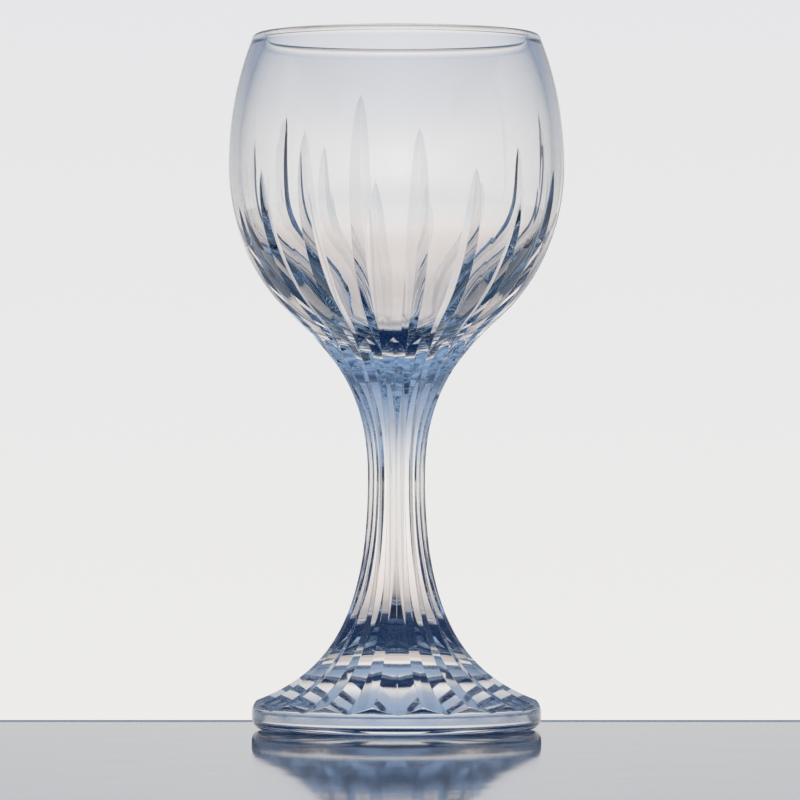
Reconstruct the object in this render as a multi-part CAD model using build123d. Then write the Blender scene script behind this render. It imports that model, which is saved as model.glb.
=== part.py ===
from build123d import *
import os
from math import asin, cos, exp, radians, sin, sqrt, tan

# Cut crystal water goblet: a blown bowl, a solid stem and a solid foot, joined hot, end to end.
# Millimetres, +Z up. The origin is the centre of the foot's flat underside.
# Azimuths are in degrees from the front (-Y) towards +X.

# Outside of the bowl: a globe made of two half ellipses that meet at its equator
height = 178.0
globe_radius = 43.0
globe_equator_z = 144.0
globe_drop = 49.1
globe_rise = 64.0

# Inside of the bowl: a belly that follows the globe, then a funnel with a round floor in the thick glass below
belly_wall = 2.5
lip_wall = 3.3
floor_glass = 4.1
funnel_rise = 20.5
funnel_radius = 30.4
floor_round = 13.3

# Neck, from the stem's waist up into the globe
waist_radius = 7.4
waist_z = 64.4
neck_pull_up = 20.4
neck_pull_out = 15.0
neck_meets_globe_radius = 26.6

# Foot, from the waist down to its rounded shoulder and edge
foot_radius = 37.1
foot_edge_round = 2.6
shoulder_round = 4.0
shoulder_centre_z = 4.2
flare_pull_down = 36.5
flare_pull_in = 18.0
flare_slope = 21.8

# Where the three gathers of glass meet
bowl_button = 6.9
foot_joint_z = 21.0

# Cuts: a V flute under each land of the bowl, and a V wedge in the bowl between two flutes
cut_count = 18
tall_wedge_azimuth = -12.3
flute_depth_at_waist = 0.6
flute_depth_at_rim = 2.1
flute_tip_above_globe = 4.7
arris_drop = 0.12
wedge_depth = 1.45
wedge_half_angle = 70.0
wedge_lower_tip_below_globe = 4.7
wedge_run_in = 15.0
wedge_run_out = 12.0
tall_tip_above_equator = 15.5
tip_step = 8.7
steps_to_shortest = 3

# Sampling of the curves that the cuts follow, and how far a cutting tool stands clear of the glass
curve_steps = 9
wedge_stations = 10
tool_clear = 2.0
tool_reach = 60.0

pitch = 360.0 / cut_count
globe_bottom_z = globe_equator_z - globe_drop
bowl_joint_z = globe_bottom_z - bowl_button
bowl_floor_z = globe_bottom_z + floor_glass
flute_tip_z = globe_bottom_z + flute_tip_above_globe
wedge_lower_tip_z = globe_bottom_z - wedge_lower_tip_below_globe


def half_ellipse_radius(z, equator_radius, rise, drop):
    half_height = rise if z > globe_equator_z else drop
    return equator_radius * sqrt(1.0 - ((z - globe_equator_z) / half_height) ** 2)


def bezier(control, t):
    s = 1.0 - t
    weights = (s**3, 3 * s * s * t, 3 * s * t * t, t**3)
    point = Vector(0, 0)
    for weight, corner in zip(weights, control):
        point = point + corner * weight
    return point


def bezier_normal(control, t):
    """Outward normal of a curve in the (radius, height) plane, whichever way the curve runs."""
    step = bezier(control, min(t + 1e-4, 1.0)) - bezier(control, max(t - 1e-4, 0.0))
    normal = Vector(step.Y, -step.X).normalized()
    return normal if normal.X > 0 else -normal


# Neck curve: vertical at the waist, tangent to the globe where they meet
meet_z = globe_equator_z - globe_drop * sqrt(1.0 - (neck_meets_globe_radius / globe_radius) ** 2)
meet_slope = globe_radius**2 * (globe_equator_z - meet_z) / (globe_drop**2 * neck_meets_globe_radius)
meet_along = Vector(meet_slope, 1.0).normalized()
neck_curve = [
    Vector(waist_radius, waist_z),
    Vector(waist_radius, waist_z + neck_pull_up),
    Vector(neck_meets_globe_radius, meet_z) - meet_along * neck_pull_out,
    Vector(neck_meets_globe_radius, meet_z),
]

# Flare curve: vertical at the waist, and just inside a tangent of the shoulder's round at its foot
shoulder_up = Vector(sin(radians(flare_slope)), cos(radians(flare_slope)))
flare_along = Vector(cos(radians(flare_slope)), -sin(radians(flare_slope)))
shoulder_centre = Vector(foot_radius - shoulder_round, shoulder_centre_z)
flare_end = shoulder_centre + shoulder_up * (shoulder_round - arris_drop)
flare_curve = [
    Vector(waist_radius, waist_z),
    Vector(waist_radius, waist_z - flare_pull_down),
    flare_end - flare_along * flare_pull_in,
    flare_end,
]


def flute_depth(radius):
    share = (radius - waist_radius) / (foot_radius - waist_radius)
    return flute_depth_at_waist + (flute_depth_at_rim - flute_depth_at_waist) * share


def flute_lift(z, depth):
    """How far the flutes have risen out of the glass above the bowl's joint; all the way at their tips."""
    run = max(z - bowl_joint_z, 0.0) / (flute_tip_z - bowl_joint_z)
    return depth * run * run


def turned(radius, z, azimuth, aside=0.0):
    """A point at a radius and height on an azimuth, moved aside square to that azimuth."""
    a = radians(azimuth)
    return Vector(radius * sin(a) + aside * cos(a), -radius * cos(a) + aside * sin(a), z)


def railed_solid(rails, low_apex, high_apex):
    """Solid with ruled walls between neighbouring rails, closed by flat facets to a point at each end."""
    faces = []
    for rail, after in zip(rails, rails[1:] + rails[:1]):
        faces.append(Face.make_surface_from_curves(rail, after))
        faces.append(Face(Wire.make_polygon([rail @ 0, after @ 0, low_apex])))
        faces.append(Face(Wire.make_polygon([rail @ 1, after @ 1, high_apex])))
    return Solid(Shell(faces))


def slab(low_z, high_z):
    return Pos(0, 0, (low_z + high_z) / 2) * Cylinder(tool_reach, high_z - low_z)


# Fluted body: ridge and valley lines from past the foot's edge, up the stem, to past the flutes' tips
skirt = tool_reach - foot_radius
ridge_line = [flare_end + flare_along * skirt, flare_end + flare_along * (skirt / 2)]
valley_line = [p - shoulder_up * flute_depth_at_rim for p in ridge_line]
meridian = [(flare_curve, 1.0 - i / curve_steps) for i in range(curve_steps)]
meridian += [(neck_curve, i / curve_steps) for i in range(curve_steps + 1)]
for curve, t in meridian:
    point = bezier(curve, t)
    normal = bezier_normal(curve, t)
    depth = flute_depth(point.X)
    lift = flute_lift(point.Y, depth)
    ridge_line.append(point + normal * (lift - arris_drop))
    valley_line.append(point + normal * (lift - depth))

flute_azimuth = tall_wedge_azimuth + pitch / 2
rails = []
for i in range(cut_count):
    valley_azimuth = flute_azimuth + i * pitch
    rails.append(Spline([turned(p.X, p.Y, valley_azimuth) for p in valley_line]))
    rails.append(Spline([turned(p.X, p.Y, valley_azimuth + pitch / 2) for p in ridge_line]))
fluted_body = railed_solid(rails, Vector(0, 0, valley_line[0].Y), Vector(0, 0, ridge_line[-1].Y))

# Stem: the fluted body between its two joints
stem = fluted_body & slab(foot_joint_z, bowl_joint_z)

# Foot: the fluted body below its joint, inside a turned edge with a rounded shoulder
edge_bottom = Vector(foot_radius - foot_edge_round, 0)
edge_side = Vector(foot_radius, foot_edge_round)
edge_mid = Vector(foot_radius - foot_edge_round * (1 - sqrt(0.5)), foot_edge_round * (1 - sqrt(0.5)))
shoulder_low = shoulder_centre + Vector(shoulder_round, 0)
shoulder_half = radians(90 - flare_slope) / 2
shoulder_mid = shoulder_centre + Vector(cos(shoulder_half), sin(shoulder_half)) * shoulder_round
shoulder_high = shoulder_centre + shoulder_up * shoulder_round
foot_outline = [
    Line((0, 0), edge_bottom),
    ThreePointArc(edge_bottom, edge_mid, edge_side),
    Line(edge_side, shoulder_low),
    ThreePointArc(shoulder_low, shoulder_mid, shoulder_high),
    Line(shoulder_high, (shoulder_high.X, foot_joint_z)),
    Line((shoulder_high.X, foot_joint_z), (0, foot_joint_z)),
    Line((0, foot_joint_z), (0, 0)),
]
foot_blank = revolve(Plane.XZ * make_face(foot_outline), Axis.Z)
foot = fluted_body & foot_blank

# Bowl blank: turned outside and inside, with a round lip
lip_z = height - lip_wall / 2
rim_radius = half_ellipse_radius(lip_z, globe_radius, globe_rise, globe_drop)
inner_radius = globe_radius - belly_wall
inner_rim_radius = rim_radius - lip_wall
inner_rise = (lip_z - globe_equator_z) / sqrt(1.0 - (inner_rim_radius / inner_radius) ** 2)
funnel_z = bowl_floor_z + funnel_rise
inner_curve = [
    (inner_radius, globe_equator_z),
    (inner_radius, funnel_z),
    (funnel_radius, funnel_z),
    (floor_round, bowl_floor_z),
    (0, bowl_floor_z),
]


def globe_arc(equator_radius, half_height, start_z, end_z):
    """Part of an ellipse about the globe's centre, between two heights on one side of the equator."""
    start = asin((start_z - globe_equator_z) / half_height)
    end = asin((end_z - globe_equator_z) / half_height)
    turns = [start + (end - start) * i / curve_steps for i in range(curve_steps + 1)]
    points = [(equator_radius * cos(a), globe_equator_z + half_height * sin(a)) for a in turns]
    way = 1 if end > start else -1
    ends = [(-equator_radius * sin(a) * way, half_height * cos(a) * way) for a in (start, end)]
    return Spline(points, tangents=ends)


bowl_outline = [
    Line((0, waist_z), (waist_radius, waist_z)),
    Bezier(neck_curve),
    globe_arc(globe_radius, globe_drop, meet_z, globe_equator_z),
    globe_arc(globe_radius, globe_rise, globe_equator_z, lip_z),
    ThreePointArc((rim_radius, lip_z), (rim_radius - lip_wall / 2, height), (inner_rim_radius, lip_z)),
    globe_arc(inner_radius, inner_rise, lip_z, globe_equator_z),
    Bezier(inner_curve),
    Line((0, bowl_floor_z), (0, waist_z)),
]
bowl_blank = revolve(Plane.XZ * make_face(bowl_outline), Axis.Z)
bowl_blank = bowl_blank & slab(bowl_joint_z, height + tool_clear)

# Flutes running out on the bowl's button: a collar with the fluted body's shape inside it
collar_top_z = (flute_tip_z + ridge_line[-1].Y) / 2
flute_collar = slab(bowl_joint_z - tool_clear, collar_top_z) - fluted_body


def outer_point(z):
    """Point and outward normal of the bowl's outside at a height above the waist."""
    if z > meet_z:
        radius = half_ellipse_radius(z, globe_radius, globe_rise, globe_drop)
        half_height = globe_rise if z > globe_equator_z else globe_drop
        normal = Vector(radius / globe_radius**2, (z - globe_equator_z) / half_height**2)
        return Vector(radius, z), normal.normalized()
    low, high = 0.0, 1.0
    for _ in range(40):
        t = (low + high) / 2
        low, high = (t, high) if bezier(neck_curve, t).Y < z else (low, t)
    return bezier(neck_curve, t), bezier_normal(neck_curve, t)


def wedge_tool(tip_z, azimuth):
    """V section tool along one azimuth, sinking into the glass at its lower tip and out at its upper one."""
    lines = [[], [], []]
    start_z = wedge_lower_tip_z - tool_clear
    for i in range(wedge_stations + 1):
        z = start_z + (tip_z + tool_clear - start_z) * i / wedge_stations
        point, normal = outer_point(z)
        run_in = 1.0 - exp((wedge_lower_tip_z - z) / wedge_run_in)
        run_out = 1.0 - exp((z - tip_z) / wedge_run_out)
        depth = wedge_depth * run_in * run_out
        bottom = point - normal * depth
        top = point + normal * tool_clear
        half_width = (tool_clear + depth) * tan(radians(wedge_half_angle))
        lines[0].append(turned(bottom.X, bottom.Y, azimuth))
        lines[1].append(turned(top.X, top.Y, azimuth, half_width))
        lines[2].append(turned(top.X, top.Y, azimuth, -half_width))
    ends = [(line[0], line[-1]) for line in lines]
    low_apex = (ends[0][0] + ends[1][0] + ends[2][0]) / 3
    high_apex = (ends[0][1] + ends[1][1] + ends[2][1]) / 3
    return railed_solid([Spline(line) for line in lines], low_apex, high_apex)


# Wedge cuts: their upper tips step down from each tall cut to the shortest one and up again
wedge_tools = []
for i in range(cut_count):
    place = i % (2 * steps_to_shortest)
    steps_down = min(place, 2 * steps_to_shortest - place)
    tip_z = globe_equator_z + tall_tip_above_equator - steps_down * tip_step
    wedge_tools.append(wedge_tool(tip_z, tall_wedge_azimuth + i * pitch))

# Bowl: the blank with its flutes and wedges ground away
bowl = bowl_blank - flute_collar - wedge_tools

os.makedirs("parts", exist_ok=True)
export_step(bowl, "parts/bowl.step")
export_step(stem, "parts/stem.step")
export_step(foot, "parts/foot.step")
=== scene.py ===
import random
from math import asin, cos, exp, hypot, pi, radians, sin, sqrt, tan

import bmesh
import bpy
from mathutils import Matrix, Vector


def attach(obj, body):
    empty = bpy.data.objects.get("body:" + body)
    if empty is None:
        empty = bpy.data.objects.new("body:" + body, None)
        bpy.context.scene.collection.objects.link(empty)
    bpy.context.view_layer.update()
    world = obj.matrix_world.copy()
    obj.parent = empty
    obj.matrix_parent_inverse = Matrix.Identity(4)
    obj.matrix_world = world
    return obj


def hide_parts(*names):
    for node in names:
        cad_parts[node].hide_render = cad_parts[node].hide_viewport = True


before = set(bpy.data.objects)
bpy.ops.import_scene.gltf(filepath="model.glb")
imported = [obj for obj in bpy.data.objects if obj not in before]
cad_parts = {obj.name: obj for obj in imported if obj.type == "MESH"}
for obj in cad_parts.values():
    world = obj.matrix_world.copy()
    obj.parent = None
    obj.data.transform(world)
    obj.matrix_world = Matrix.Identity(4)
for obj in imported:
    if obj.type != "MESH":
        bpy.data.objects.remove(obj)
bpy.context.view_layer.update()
scene = bpy.context.scene
scene.view_settings.view_transform = "Standard"

# Light crosses many cut faces on its way through the goblet, so it gets more bounces than usual
scene.cycles.max_bounces = 32
scene.cycles.glossy_bounces = 24
scene.cycles.transmission_bounces = 24
scene.cycles.transparent_max_bounces = 64


# Bowl. Blown globe of clear lead crystal with a fire polished lip and inside, on a solid button of glass.
# V wedges of stepped heights are ground into it on a wheel and polished, one between every two flutes.
# Its flat lower end is fused hot to the stem.

# Outline, in millimetres, as two half ellipses on a neck curve
height = 178.0
globe_radius = 43.0
equator_z = 144.0
globe_drop = 49.1
globe_rise = 64.0
belly_wall = 2.5
lip_wall = 3.3
floor_glass = 4.1
funnel_rise = 20.5
funnel_radius = 30.4
floor_round = 13.3
bowl_button = 6.9
waist_radius = 7.4
waist_z = 64.4
neck_pull_up = 20.4
neck_pull_out = 15.0
meet_radius = 26.6
globe_bottom_z = equator_z - globe_drop
floor_z = globe_bottom_z + floor_glass
bowl_joint_z = globe_bottom_z - bowl_button
meet_z = equator_z - globe_drop * sqrt(1 - (meet_radius / globe_radius) ** 2)
meet_slope = globe_radius**2 * (equator_z - meet_z) / (globe_drop**2 * meet_radius)
meet_along = Vector((meet_slope, 1)).normalized()
neck_curve = [
    Vector((waist_radius, waist_z)),
    Vector((waist_radius, waist_z + neck_pull_up)),
    Vector((meet_radius, meet_z)) - meet_along * neck_pull_out,
    Vector((meet_radius, meet_z)),
]

# Cuts: azimuths are from the front towards +X
cut_count = 18
half_pitch = pi / cut_count
tall_azimuth = radians(-12.3)
arris_drop = 0.12
flute_at_waist = 0.85
flute_at_rim = 1.5
foot_radius = 37.1
flute_tip_z = globe_bottom_z + 4.7
flute_tip_power = 5
wedge_depth = 1.22
wedge_half_angle = radians(73.5)
wedge_low_z = globe_bottom_z - 4.7
wedge_start_z = flute_tip_z - 3.5
wedge_start_rise = 4.0
wedge_run_in = 15.0
wedge_run_out = 14.0
wedge_tip_power = 0.75
tall_tip_z = equator_z + 15.5
tip_step = 8.7
steps_to_shortest = 3
far_out = 1e3  # radius that stands for no cut


def bezier(control, t):
    while len(control) > 1:
        control = [a + (b - a) * t for a, b in zip(control, control[1:])]
    return control[0]


def bezier_normal(control, t):
    step = bezier(control, min(t + 1e-4, 1)) - bezier(control, max(t - 1e-4, 0))
    normal = Vector((step.y, -step.x)).normalized()
    return normal if normal.x > 0 else -normal


def solve(low, high, is_low):
    """Place between low and high where is_low turns false."""
    for _ in range(36):
        mid = (low + high) / 2
        low, high = (mid, high) if is_low(mid) else (low, mid)
    return (low + high) / 2


def smooth(share):
    share = min(max(share, 0), 1)
    return share * share * (3 - 2 * share)


def flute_points(curve, t):
    """Ridge and valley of the flutes beside a point of a meridian curve."""
    point = bezier(curve, t)
    normal = bezier_normal(curve, t)
    share = (point.x - waist_radius) / (foot_radius - waist_radius)
    depth = flute_at_waist + (flute_at_rim - flute_at_waist) * share
    run = max(point.y - bowl_joint_z, 0) / (flute_tip_z - bowl_joint_z)
    lift = depth * run**flute_tip_power
    return point + normal * (lift - arris_drop), point + normal * (lift - depth)


def flute_radii(curve, z, rises):
    """Valley and ridge radius of the flutes at a height, on a curve that rises or falls with t."""
    ridge_t = solve(0, 1, lambda t: (flute_points(curve, t)[0].y < z) == rises)
    valley_t = solve(0, 1, lambda t: (flute_points(curve, t)[1].y < z) == rises)
    return flute_points(curve, valley_t)[1].x, flute_points(curve, ridge_t)[0].x


def flute_radius(turn, valley, ridge):
    """Radius of a flute's flat side at a turn from its valley."""
    return valley * ridge * sin(half_pitch) / (ridge * sin(half_pitch - turn) + valley * sin(turn))


def outer_point(z):
    if z > meet_z:
        rise = globe_rise if z > equator_z else globe_drop
        radius = globe_radius * sqrt(1 - ((z - equator_z) / rise) ** 2)
        normal = Vector((radius / globe_radius**2, (z - equator_z) / rise**2)).normalized()
        return Vector((radius, z)), normal
    t = solve(0, 1, lambda t: bezier(neck_curve, t).y < z)
    return bezier(neck_curve, t), bezier_normal(neck_curve, t)


def wedge_bottom(z, tip_z, depth):
    """Radius of a wedge cut's valley at a height, found from the outside's normal a little way off."""
    if not wedge_low_z - 2 < z < tip_z + 2:
        return far_out
    at = z
    for _ in range(4):
        point, normal = outer_point(at)
        run_out = (tip_z - at) / wedge_run_out
        run_out = 1 - exp(-(run_out**wedge_tip_power)) if run_out > 0 else run_out
        run_in = 1 - exp((wedge_low_z - at) / wedge_run_in)
        sink = depth * run_in * run_out * smooth((at - wedge_start_z) / wedge_start_rise)
        at = z + normal.y * sink
    return point.x - normal.x * sink


def wedge_radius(turn, bottom, flank):
    """Radius of a wedge's flat side at a turn from its valley."""
    under = cos(turn) * flank - sin(turn)
    return bottom * flank / under if under > 1e-6 else far_out


def on_axis(radius, z, azimuth):
    return Vector((radius * sin(azimuth), -radius * cos(azimuth), z)) * 0.001


# Hand cutting: each wedge is a little off in length, place and depth
hand_length = 0.5
hand_turn = radians(0.2)
hand_depth = 0.04
chance = random.Random(5)
wedges = []
for i in range(cut_count):
    step = i % (2 * steps_to_shortest)
    steps_down = min(step, 2 * steps_to_shortest - step)
    tip_z = tall_tip_z - tip_step * steps_down + chance.uniform(-hand_length, hand_length)
    azimuth = tall_azimuth + 2 * half_pitch * i + chance.uniform(-hand_turn, hand_turn)
    wedges.append((azimuth, tip_z, wedge_depth * (1 + chance.uniform(-hand_depth, hand_depth))))

# Mesh: columns follow the wedges' valleys and edges and the flutes' edges, rows go up the outside,
# over the lip and down the inside to its middle
edge_width = 0.12
outer_rows, lip_rows, upper_rows, lower_rows = 130, 12, 24, 48
closer_at_neck = 1.25
cut_parts, land_parts = 3, 5
even_out = 14.0
lip_z = height - lip_wall / 2
rim_radius = outer_point(lip_z)[0].x
inner_radius = globe_radius - belly_wall
inner_curve = [
    Vector((inner_radius, equator_z)),
    Vector((inner_radius, floor_z + funnel_rise)),
    Vector((funnel_radius, floor_z + funnel_rise)),
    Vector((floor_round, floor_z)),
    Vector((0, floor_z)),
]
inner_rise = (lip_z - equator_z) / sqrt(1 - ((rim_radius - lip_wall) / inner_radius) ** 2)
thin = radians(0.22)
bowl_grid = []
for j in range(outer_rows + 1):
    z = bowl_joint_z + (lip_z - bowl_joint_z) * (j / outer_rows) ** closer_at_neck
    point, normal = outer_point(z)
    flank = tan(wedge_half_angle) * normal.x
    valley, ridge = flute_radii(neck_curve, z, True) if z < flute_tip_z + 1 else (far_out, far_out)
    ring = []
    for i in range(2 * cut_count):
        azimuth, tip_z, depth = wedges[((i + 1) // 2) % cut_count]
        turn_round = 2 * pi if i == 2 * cut_count - 1 else 0
        flute_azimuth = tall_azimuth + half_pitch * (2 * (i // 2) + 1)
        span = abs(flute_azimuth - azimuth - turn_round)
        bottom = wedge_bottom(z, tip_z, depth)

        def glass(turn):
            """Radius beside the wedge and in it, at a turn from the wedge's valley."""
            beside = min(point.x, flute_radius(min(span - turn, half_pitch), valley, ridge))
            return beside, wedge_radius(turn, bottom, flank)

        def in_flute(turn):
            beside = min(point.x, wedge_radius(span - turn, bottom, flank))
            return flute_radius(min(turn, half_pitch), valley, ridge) < beside

        ease = smooth((z - tip_z) / even_out)
        leaf = flute = thin + (span * cut_parts / (2 * cut_parts + land_parts) - thin) * ease
        if bottom < point.x:
            leaf = max(thin, solve(0, span, lambda a: glass(a)[1] < glass(a)[0]))
        if valley < point.x:
            flute = max(thin, solve(0, span, in_flute))
        if leaf + flute > span - thin:
            spare = (leaf + flute - span + thin) / 2
            leaf, flute = max(leaf - spare, thin), max(flute - spare, thin)
            over = leaf + flute - span + thin
            leaf, flute = (leaf, flute - over) if flute > leaf else (leaf - over, flute)
        turns = [0]
        for start, width, parts in (
            (0, leaf, cut_parts),
            (leaf, span - leaf - flute, land_parts),
            (span - flute, flute, cut_parts),
        ):
            edge = width / parts
            edge += (min(edge, edge_width / point.x) - edge) * (1 - ease)
            turns += [start + edge + (width - 2 * edge) * k / (parts - 2) for k in range(parts - 1)]
            turns.append(start + width)
        side = []
        for turn in turns:
            place = azimuth + turn if i % 2 == 0 else azimuth + turn_round - turn
            side.append(on_axis(min(glass(turn)), z, place))
        ring += side[:-1] if i % 2 == 0 else side[:0:-1]
    bowl_grid.append(ring)
rim_ring = bowl_grid[-1]


def turned_ring(radius, z):
    """Ring of points under or inside the rim's own, at another radius and height."""
    return [Vector((v.x, v.y, 0)) * (radius / rim_radius) + Vector((0, 0, z * 0.001)) for v in rim_ring]


for k in range(1, lip_rows + 1):
    turn = pi * k / lip_rows
    radius = rim_radius - lip_wall / 2 + cos(turn) * lip_wall / 2
    z = lip_z + sin(turn) * lip_wall / 2
    bowl_grid.append(turned_ring(radius, z))
for k in range(1, upper_rows + lower_rows + 1):
    turn = asin((lip_z - equator_z) / inner_rise) * (1 - k / upper_rows)
    radius, z = inner_radius * cos(turn), equator_z + inner_rise * sin(turn)
    if k > upper_rows:
        radius, z = bezier(inner_curve, (k - upper_rows) / lower_rows)
    bowl_grid.append(turned_ring(radius, z))


def ring_mesh(name, rings, materials, slot_of):
    """Closed mesh from rings of points: a grid welded round the axis, with its open ends filled.

    The filled ends take the last material, other faces the one that slot_of gives at their radius and height.
    """
    bm = bmesh.new()
    around, along = len(rings[0]), len(rings) - 1
    bmesh.ops.create_grid(bm, x_segments=around, y_segments=along, size=1.0)
    for vert in bm.verts:
        i = round((vert.co.x + 1) / 2 * around) % around
        j = round((vert.co.y + 1) / 2 * along)
        vert.co = rings[j][i]
    bmesh.ops.remove_doubles(bm, verts=bm.verts[:], dist=1e-7)
    rim = [e for e in bm.edges if e.is_boundary]
    bmesh.ops.holes_fill(bm, edges=rim, sides=0)
    for face in bm.faces:
        middle = face.calc_center_median() * 1000
        face.smooth = True
        face.material_index = slot_of(hypot(middle.x, middle.y), middle.z)
        if len(face.verts) > 4:
            face.material_index = len(materials) - 1
    bmesh.ops.recalc_face_normals(bm, faces=bm.faces[:])
    for edge in bm.edges:
        edge.smooth = all(len(f.verts) <= 4 for f in edge.link_faces)
    mesh = bpy.data.meshes.new(name)
    bm.to_mesh(mesh)
    bm.free()
    for material in materials:
        mesh.materials.append(material)
    piece = bpy.data.objects.new(name, mesh)
    scene.collection.objects.link(piece)
    return piece


def hex_linear(code):
    parts = [int(code[i : i + 2], 16) / 255 for i in (1, 3, 5)]
    return [c / 12.92 if c <= 0.04045 else ((c + 0.055) / 1.055) ** 2.4 for c in parts] + [1.0]


def add_node(tree, kind, values=None, **settings):
    """New node with its settings, and its inputs set to a value or linked to another node's output."""
    node = tree.nodes.new(kind)
    for key, value in settings.items():
        setattr(node, key, value)
    for key, value in (values or {}).items():
        if isinstance(value, bpy.types.NodeSocket):
            tree.links.new(value, node.inputs[key])
        else:
            node.inputs[key].default_value = value
    return node


def new_material(name):
    material = bpy.data.materials.new(name)
    material.use_nodes = True
    material.node_tree.nodes.clear()
    return material, material.node_tree


def crystal_shader(tree, roughness, grain_mm, detail, strength, relief_mm):
    """Clear lead crystal with a faint relief of one grain size, left by the way its surface was made."""
    place = add_node(tree, "ShaderNodeTexCoord").outputs["Object"]
    grain = {"Vector": place, "Scale": 1000 / grain_mm, "Detail": detail}
    grain = add_node(tree, "ShaderNodeTexNoise", grain).outputs["Fac"]
    relief = {"Strength": strength, "Distance": relief_mm * 0.001, "Height": grain}
    bump = add_node(tree, "ShaderNodeBump", relief).outputs["Normal"]
    glass = {"Base Color": hex_linear("#FFFFFF"), "IOR": 1.545, "Transmission Weight": 1.0}
    shader = add_node(tree, "ShaderNodeBsdfPrincipled", glass | {"Roughness": roughness, "Normal": bump})
    add_node(tree, "ShaderNodeOutputMaterial", {"Surface": shader.outputs[0]})


# Fire polished lead crystal: clear, with the slight waves of blown glass, 4.5 mm across
fire_polished, tree = new_material("fire_polished_crystal")
crystal_shader(tree, 0.0, grain_mm=4.545, detail=1.0, strength=0.02, relief_mm=0.06)

# Cut lead crystal: flutes ground on a wheel and dipped in acid, which leaves a trace of haze and 2 mm waves
cut_polished, tree = new_material("acid_polished_cut_crystal")
crystal_shader(tree, 0.06, grain_mm=2.0, detail=1.0, strength=0.02, relief_mm=0.03)

# Fused joint: the glass of two pieces run together, so light goes straight through
fused, tree = new_material("fused_crystal_joint")
shader = add_node(tree, "ShaderNodeBsdfPrincipled", {"Base Color": hex_linear("#FFFFFF"), "Alpha": 0.0})
add_node(tree, "ShaderNodeOutputMaterial", {"Surface": shader.outputs[0]})

cut_finish_top = floor_z - 0.1


def bowl_slot(radius, z):
    return 1 if z < cut_finish_top else 0


bowl = ring_mesh("goblet_bowl", bowl_grid, (fire_polished, cut_polished, fused), bowl_slot)
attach(bowl, "root")
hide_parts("bowl")


# Stem. Solid gather of the same crystal, drawn out under the bowl and ground from end to end with V flutes
# that meet in sharp ridges. It is fused hot to the bowl above and to the foot below.
foot_joint_z = 21.0
foot_lean = radians(2.8)
flare_slope = radians(21.8)
shoulder_round = 4.0
shoulder_z = 4.2
shoulder_up = Vector((sin(flare_slope), cos(flare_slope)))
flare_along = Vector((cos(flare_slope), -sin(flare_slope)))
shoulder_centre = Vector((foot_radius - shoulder_round, shoulder_z))
flare_pull_down = 36.5
flare_pull_in = 18.0
flare_end = shoulder_centre + shoulder_up * (shoulder_round - arris_drop)
flare_curve = [
    Vector((waist_radius, waist_z)),
    Vector((waist_radius, waist_z - flare_pull_down)),
    flare_end - flare_along * flare_pull_in,
    flare_end,
]

# Mesh: eight columns to a flute, at shares of its half width from its valley, closest at valley and ridge
stem_rows = 130
stem_sides = (0, 0.05, 0.5, 0.95, 1, 1.05, 1.5, 1.95)
stem_grid = []
for j in range(stem_rows + 1):
    z = foot_joint_z + (bowl_joint_z - foot_joint_z) * j / stem_rows
    valley, ridge = flute_radii(neck_curve, z, True) if z > waist_z else flute_radii(flare_curve, z, False)
    ring = []
    lean = foot_lean * smooth((bowl_joint_z - z) / (bowl_joint_z - foot_joint_z))
    for i in range(cut_count):
        for share in stem_sides:
            turn = half_pitch * min(share, 2 - share)
            azimuth = tall_azimuth + lean + half_pitch * (2 * i + 1 + share)
            ring.append(on_axis(flute_radius(turn, valley, ridge), z, azimuth))
    stem_grid.append(ring)
stem = ring_mesh("goblet_stem", stem_grid, (cut_polished, fused), lambda radius, z: 0)
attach(stem, "root")
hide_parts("stem")


# Foot. Solid gather of the same crystal, spread into a disc with a rounded edge and a flat, polished
# underside. The stem's flutes widen over its top and run out over its shoulder. It is fused hot to the stem.
edge_round = 2.6

# Mesh: columns at shares of a flute's half width, rows go down the flutes, over the edge and in underneath
foot_half = (0, 0.03, 0.2, 0.4, 0.6, 0.8, 0.97, 1)
flute_rows, shoulder_rows, edge_rows, under_rows = 70, 10, 8, 10
closer_at_edge = 1.5
crest_lowest, crest_highest = 1.0, 9.0


def flare_radii(z):
    """Flute radii on the flare, carried on straight past its end."""
    low_ridge, low_valley = flute_points(flare_curve, 1)
    spread = flare_along.x / -flare_along.y
    valley, ridge = flute_radii(flare_curve, z, False)
    if z < low_ridge.y:
        ridge = low_ridge.x + (low_ridge.y - z) * spread
    if z < low_valley.y:
        valley = low_valley.x + (low_valley.y - z) * spread
    return valley, ridge


def edge_radius(z):
    up = z - shoulder_z
    return shoulder_centre.x + (sqrt(max(shoulder_round**2 - up * up, 0)) if up > 0 else shoulder_round)


foot_sides = []
for share in foot_half:
    turn = half_pitch * share
    crest_z = solve(
        crest_lowest, crest_highest, lambda z: flute_radius(turn, *flare_radii(z)) > edge_radius(z)
    )
    side = []
    for j in range(flute_rows + 1):
        z = crest_z + (foot_joint_z - crest_z) * (1 - j / flute_rows) ** closer_at_edge
        side.append((flute_radius(turn, *flare_radii(z)), z))
    crest_turn = asin(max((crest_z - shoulder_z) / shoulder_round, 0))
    for j in range(1, shoulder_rows + 1):
        a = crest_turn * (1 - j / shoulder_rows)
        side.append((shoulder_centre.x + shoulder_round * cos(a), shoulder_z + shoulder_round * sin(a)))
    for j in range(edge_rows + 1):
        a = pi / 2 * j / edge_rows
        side.append((foot_radius - edge_round * (1 - cos(a)), edge_round * (1 - sin(a))))
    for j in range(1, under_rows + 1):
        side.append(((foot_radius - edge_round) * (1 - j / under_rows), 0))
    foot_sides.append(side)
columns = list(zip(foot_half, foot_sides))
columns += [(2 - share, side) for share, side in columns[-2:0:-1]]
foot_grid = []
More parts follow.
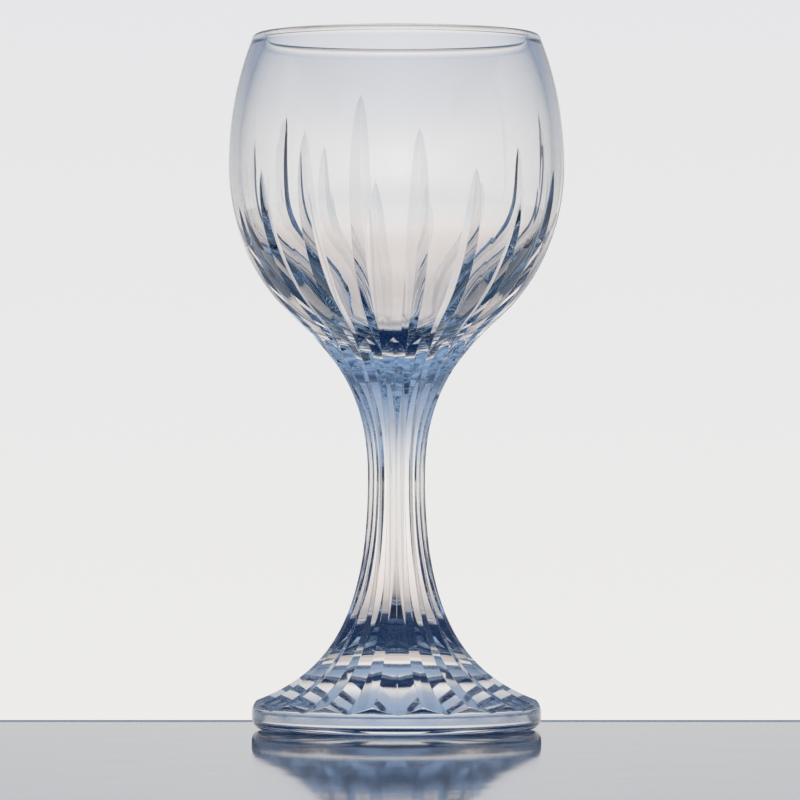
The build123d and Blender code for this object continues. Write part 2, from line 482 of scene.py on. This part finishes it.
for j in range(len(foot_sides[0])):
    ring = []
    for i in range(cut_count):
        valley_azimuth = tall_azimuth + foot_lean + half_pitch * (2 * i + 1)
        ring += [on_axis(*side[j], valley_azimuth + half_pitch * share) for share, side in columns]
    foot_grid.append(ring)

# Foot's edge: spread hot and left as it cooled, with a 1.1 mm orange peel
foot_edge, tree = new_material("fire_polished_foot_edge")
crystal_shader(tree, 0.04, grain_mm=1.111, detail=2.0, strength=0.12, relief_mm=0.06)

# Underside: ground flat and polished with 1.4 mm scuffs, worn dull by the table in a ring near its edge
worn_from, worn_to = 0.030, 0.033
polished_roughness, worn_roughness = 0.03, 0.2
worn, tree = new_material("worn_polished_underside")
place = add_node(tree, "ShaderNodeTexCoord").outputs["Object"]
reach = add_node(tree, "ShaderNodeVectorMath", {0: place}, operation="LENGTH").outputs["Value"]
wear = {"Value": reach, "From Min": worn_from, "From Max": worn_to}
wear |= {"To Min": polished_roughness, "To Max": worn_roughness}
roughness = add_node(tree, "ShaderNodeMapRange", wear).outputs[0]
crystal_shader(tree, roughness, grain_mm=1.4286, detail=3.0, strength=0.03, relief_mm=0.03)
underside_top = 0.01
edge_margin = 0.05


def foot_slot(radius, z):
    if z < underside_top:
        return 2
    return 1 if z < shoulder_z or radius > edge_radius(z) - edge_margin else 0


foot = ring_mesh("goblet_foot", foot_grid, (cut_polished, foot_edge, worn, fused), foot_slot)
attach(foot, "root")
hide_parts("foot")


# Table. A plain pale top, polished and slightly wavy, with a grey edge close behind the goblet.
# The camera, and light straight through the glass, see it as it is, except a painted pale light under the
# foot.
# Light that was reflected inside the glass sees a painted reflection of its dark gloss instead: navy from
# above, a painted navy shade under the foot, pale at a flat angle. It is stage.
table_half = 1.5
table_drop = 0.0003
far_edge_y = 0.042
edge_from_y, edge_to_y = 0.031, 0.036
under_foot_reach = 0.036
table_wave_mm = 22.22
table_mesh = bpy.data.meshes.new("floor")
bm = bmesh.new()
bmesh.ops.create_grid(bm, x_segments=1, y_segments=1, size=table_half)
for vert in bm.verts:
    vert.co.z = -table_drop
    vert.co.y = min(vert.co.y, far_edge_y)
bm.to_mesh(table_mesh)
bm.free()
table = bpy.data.objects.new("floor", table_mesh)
scene.collection.objects.link(table)

# Polished lacquer: its pale colour gives way to its gloss where it is seen at a flat angle
table_top, tree = new_material("pale_polished_table_top")
place = add_node(tree, "ShaderNodeTexCoord").outputs["Object"]
facing = add_node(tree, "ShaderNodeLayerWeight", {"Blend": 0.5}).outputs["Facing"]
graze = add_node(tree, "ShaderNodeMapRange", {"Value": facing, "From Min": 0.86, "From Max": 0.96})
tone = add_node(
    tree,
    "ShaderNodeMix",
    {"Factor": graze.outputs[0], "A": hex_linear("#E6E6EA"), "B": hex_linear("#30394F")},
    data_type="RGBA",
)
wave = {"Vector": place, "Scale": 1000 / table_wave_mm, "Detail": 1.0}
wave = add_node(tree, "ShaderNodeTexNoise", wave).outputs["Fac"]
relief = {"Strength": 0.15, "Distance": 0.0002, "Height": wave}
bump = add_node(tree, "ShaderNodeBump", relief).outputs["Normal"]
lacquer = add_node(
    tree,
    "ShaderNodeBsdfPrincipled",
    {"Base Color": tone.outputs["Result"], "Roughness": 0.055, "IOR": 1.4, "Normal": bump},
).outputs[0]
back = add_node(tree, "ShaderNodeSeparateXYZ", {"Vector": place}).outputs["Y"]
brink = {"Value": back, "From Min": edge_from_y, "From Max": edge_to_y}
brink = add_node(tree, "ShaderNodeMapRange", brink).outputs[0]
edge_band = {"Base Color": hex_linear("#8494A1"), "Roughness": 0.5}
edge_band = add_node(tree, "ShaderNodeBsdfPrincipled", edge_band).outputs[0]
plain = add_node(tree, "ShaderNodeMixShader", {0: brink, 1: lacquer, 2: edge_band}).outputs[0]

# Under the foot: painted light. Clear glass lets the light through to the top, where the render would show a
# full shadow, so light straight through the foot sees a pale glow painted there instead
rays = add_node(tree, "ShaderNodeLightPath").outputs
reach = add_node(tree, "ShaderNodeVectorMath", {0: place}, operation="LENGTH").outputs["Value"]
covered = add_node(tree, "ShaderNodeMath", {0: reach, 1: under_foot_reach}, operation="LESS_THAN").outputs[0]
through_foot = add_node(
    tree, "ShaderNodeMath", {0: covered, 1: rays["Is Transmission Ray"]}, operation="MULTIPLY"
).outputs[0]
# Painted light: a pale emission in place of the light that comes through the foot
painted_light_under_foot = add_node(tree, "ShaderNodeEmission", {"Color": hex_linear("#D0D0D4")}).outputs[0]
plain = add_node(tree, "ShaderNodeMixShader", {0: through_foot, 1: plain, 2: painted_light_under_foot}).outputs[0]

# Painted reflection: light reflected inside the glass sees an emission ramped by facing, not the top's real
# gloss
painted_gloss_ramp = add_node(tree, "ShaderNodeValToRGB", {"Fac": facing})
painted_gloss_stops = painted_gloss_ramp.color_ramp.elements
painted_gloss_stops[0].color = hex_linear("#042650")
painted_gloss_stops[1].color = hex_linear("#E8E4E1")
for flatness, code in (
    (0.36, "#1C3354"),
    (0.5, "#2E4260"),
    (0.62, "#5F6A7C"),
    (0.76, "#A8A6A8"),
    (0.9, "#D8D4D2"),
):
    painted_gloss_stops.new(flatness).color = hex_linear(code)
# Painted shade: a navy spot under the foot, where shade falls beneath the glass
painted_gloss_and_shade_tone = add_node(
    tree,
    "ShaderNodeMix",
    {"Factor": covered, "A": painted_gloss_ramp.outputs["Color"], "B": hex_linear("#031F46")},
    data_type="RGBA",
)
dark = add_node(tree, "ShaderNodeEmission", {"Color": painted_gloss_and_shade_tone.outputs["Result"]}).outputs[0]
turned = add_node(tree, "ShaderNodeMath", {0: rays["Glossy Depth"], 1: 0.5}, operation="GREATER_THAN")
seen = add_node(tree, "ShaderNodeMixShader", {0: turned.outputs[0], 1: plain, 2: dark})
add_node(tree, "ShaderNodeOutputMaterial", {"Surface": seen.outputs[0]})
table_mesh.materials.append(table_top)


# Cards. Two dark cards that stand on the table left and right of the goblet, out of the picture.
# Only light that was reflected inside the glass meets them: they draw dark lines in the stem and the foot.
# They are stage.
card_away = 0.125
card_half_length = 0.1
card_half_height = 0.055
card_board, tree = new_material("dark_card_board")
rays = add_node(tree, "ShaderNodeLightPath").outputs
turned = add_node(tree, "ShaderNodeMath", {0: rays["Glossy Depth"], 1: 0.5}, operation="GREATER_THAN")
clear = add_node(tree, "ShaderNodeBsdfTransparent")
dark = add_node(tree, "ShaderNodeEmission", {"Color": hex_linear("#101E36")})
seen = add_node(tree, "ShaderNodeMixShader", {0: turned.outputs[0], 1: clear.outputs[0], 2: dark.outputs[0]})
add_node(tree, "ShaderNodeOutputMaterial", {"Surface": seen.outputs[0]})
for side in (-1, 1):
    bm = bmesh.new()
    bmesh.ops.create_grid(bm, x_segments=1, y_segments=1, size=1.0)
    for vert in bm.verts:
        along, up = vert.co.x * card_half_length, (1 + vert.co.y) * card_half_height
        vert.co = Vector((side * card_away, along, up))
    card_mesh = bpy.data.meshes.new("dark_card")
    bm.to_mesh(card_mesh)
    bm.free()
    card_mesh.materials.append(card_board)
    card = bpy.data.objects.new("dark_card", card_mesh)
    card.visible_camera = False
    card.visible_glossy = False
    card.visible_diffuse = False
    card.visible_shadow = False
    scene.collection.objects.link(card)


# Light. A pale studio window before and behind the goblet, warm below, blue overhead and dimmer to the sides,
# where a dark flag draws the strokes of the wedges. Light that was reflected twice inside the glass sees the
# room round the studio, dark at eye level and blue above. Matt surfaces get plain white light.
flag_rise_from, flag_rise_to = radians(57), radians(65)
flag_fall_from, flag_fall_to = radians(80), radians(88)
flag_top_from, flag_top_to = radians(18), radians(32)
window_dim = 0.35
under_from, under_to = radians(-45), radians(-30)
backdrop_low, backdrop_high = radians(-4), radians(5)
window_stops = (
    (-90, "#1B3A63"),
    (-60, "#3A5070"),
    (-48, "#66727F"),
    (-34, "#B4AFAD"),
    (-24, "#DDD5D0"),
    (-15, "#F0E8E3"),
    (-8, "#F6F1ED"),
    (0, "#F1F0EE"),
    (5, "#E4E4E6"),
    (10, "#D2D5DB"),
    (15, "#B8BFCC"),
    (20, "#AFBBCC"),
    (28, "#A0B2CB"),
    (40, "#90A6C3"),
    (60, "#7890B3"),
    (90, "#4A6488"),
)
flag_stops = (
    (-90, "#1B3A63"),
    (-45, "#5C6976"),
    (-28, "#2A3848"),
    (-15, "#1A2736"),
    (0, "#15212F"),
    (20, "#2A3D58"),
    (90, "#4A6488"),
)
room_stops = (
    (-90, "#1B3A63"),
    (-40, "#4A5A6C"),
    (-15, "#34465A"),
    (0, "#22344A"),
    (15, "#4A688F"),
    (30, "#8FAACB"),
    (50, "#8FA9C9"),
    (90, "#6A8DB8"),
)
world = bpy.data.worlds.new("studio")
scene.world = world
world.use_nodes = True
tree = world.node_tree
tree.nodes.clear()
rays = add_node(tree, "ShaderNodeLightPath").outputs
towards = add_node(tree, "ShaderNodeTexCoord").outputs["Generated"]
way = add_node(tree, "ShaderNodeSeparateXYZ", {"Vector": towards}).outputs

# Rise is the angle above the horizon, aside the angle from straight before or behind, up to a right angle
rise = add_node(tree, "ShaderNodeMath", {0: way["Z"]}, operation="ARCSINE").outputs[0]
aside = add_node(tree, "ShaderNodeMath", {0: way["X"], 1: way["Y"]}, operation="ARCTAN2").outputs[0]
aside = add_node(tree, "ShaderNodeMath", {0: aside}, operation="ABSOLUTE").outputs[0]
aside = add_node(tree, "ShaderNodeMath", {0: aside, 1: pi / 2}, operation="PINGPONG").outputs[0]
up_share = add_node(tree, "ShaderNodeMapRange", {"Value": rise, "From Min": -pi / 2, "From Max": pi / 2})
ramps = []
for stops in (window_stops, flag_stops, room_stops):
    ramp = add_node(tree, "ShaderNodeValToRGB", {"Fac": up_share.outputs[0]})
    ramp.color_ramp.elements[0].color = hex_linear(stops[0][1])
    ramp.color_ramp.elements[1].color = hex_linear(stops[-1][1])
    for degrees_up, code in stops[1:-1]:
        ramp.color_ramp.elements.new((degrees_up + 90) / 180).color = hex_linear(code)
    ramps.append(ramp.outputs["Color"])
window_tone, flag_tone, room_tone = ramps

# Flags: for light that was not reflected, between the window and straight sideways, and not overhead
turned = add_node(
    tree, "ShaderNodeMath", {0: rays["Glossy Depth"], 1: 0.5}, operation="GREATER_THAN"
).outputs[0]
unturned = add_node(tree, "ShaderNodeMath", {0: 1.0, 1: turned}, operation="SUBTRACT").outputs[0]
beside = add_node(
    tree,
    "ShaderNodeMapRange",
    {"Value": aside, "From Min": flag_rise_from, "From Max": flag_rise_to},
    interpolation_type="SMOOTHSTEP",
).outputs[0]
before_side = add_node(
    tree,
    "ShaderNodeMapRange",
    {"Value": aside, "From Min": flag_fall_from, "From Max": flag_fall_to, "To Min": 1.0, "To Max": 0.0},
    interpolation_type="SMOOTHSTEP",
).outputs[0]
below_top = add_node(
    tree,
    "ShaderNodeMapRange",
    {"Value": rise, "From Min": flag_top_from, "From Max": flag_top_to, "To Min": 1.0, "To Max": 0.0},
    interpolation_type="SMOOTHSTEP",
).outputs[0]
flag = beside
for factor in (before_side, below_top, unturned):
    flag = add_node(tree, "ShaderNodeMath", {0: flag, 1: factor}, operation="MULTIPLY").outputs[0]

# Window: dims to the sides, and straight sideways it is bright again for light that was not reflected
dim = add_node(
    tree,
    "ShaderNodeMapRange",
    {"Value": aside, "From Min": 0.0, "From Max": flag_rise_from, "To Min": 0.0, "To Max": window_dim},
).outputs[0]
dimmed = add_node(tree, "ShaderNodeMath", {0: before_side, 1: turned}, operation="MAXIMUM").outputs[0]
dim = add_node(tree, "ShaderNodeMath", {0: dim, 1: dimmed}, operation="MULTIPLY").outputs[0]
level = add_node(tree, "ShaderNodeMath", {0: 1.0, 1: dim}, operation="SUBTRACT").outputs[0]
pale = add_node(tree, "ShaderNodeVectorMath", {0: window_tone, "Scale": level}, operation="SCALE")

# Floor of the studio: pale for light that was not reflected, so that the bowl is clear from above
under = add_node(
    tree,
    "ShaderNodeMapRange",
    {"Value": rise, "From Min": under_from, "From Max": under_to, "To Min": 1.0, "To Max": 0.0},
).outputs[0]
under = add_node(tree, "ShaderNodeMath", {0: under, 1: unturned}, operation="MULTIPLY").outputs[0]
twice_turned = add_node(
    tree, "ShaderNodeMapRange", {"Value": rays["Glossy Depth"], "From Min": 1.0, "From Max": 2.0}
).outputs[0]
studio_tone = pale.outputs["Vector"]
for factor, tone in (
    (under, hex_linear("#E6E2DF")),
    (flag, flag_tone),
    (twice_turned, room_tone),
    (rays["Is Diffuse Ray"], hex_linear("#F4F3F2")),
):
    mix = add_node(tree, "ShaderNodeMix", {"Factor": factor, "A": studio_tone, "B": tone}, data_type="RGBA")
    studio_tone = mix.outputs["Result"]

# Backdrop: what the camera sees behind the goblet
backdrop_share = add_node(
    tree, "ShaderNodeMapRange", {"Value": rise, "From Min": backdrop_low, "From Max": backdrop_high}
).outputs[0]
backdrop_tone = add_node(
    tree,
    "ShaderNodeMix",
    {"Factor": backdrop_share, "A": hex_linear("#EDECEA"), "B": hex_linear("#E6E6E8")},
    data_type="RGBA",
).outputs["Result"]
studio = add_node(tree, "ShaderNodeBackground", {"Color": studio_tone})
backdrop = add_node(tree, "ShaderNodeBackground", {"Color": backdrop_tone})
seen = add_node(
    tree, "ShaderNodeMixShader", {0: rays["Is Camera Ray"], 1: studio.outputs[0], 2: backdrop.outputs[0]}
)
add_node(tree, "ShaderNodeOutputWorld", {"Surface": seen.outputs[0]})


# Camera. A long lens at the height of the stem, as in the photograph.
camera_distance = 1.35
frame_width = 0.2052
sensor_mm = 36
camera_x = 0.0009
camera_z = 0.0764
aim_z = 0.0841
camera_data = bpy.data.cameras.new("camera")
camera_data.lens = sensor_mm * camera_distance / frame_width
camera_data.clip_start = 0.05
camera = bpy.data.objects.new("camera", camera_data)
camera.location = (camera_x, -camera_distance, camera_z)
aim = Vector((camera_x, 0, aim_z)) - camera.location
camera.rotation_euler = aim.to_track_quat("-Z", "Y").to_euler()
scene.collection.objects.link(camera)
scene.camera = camera
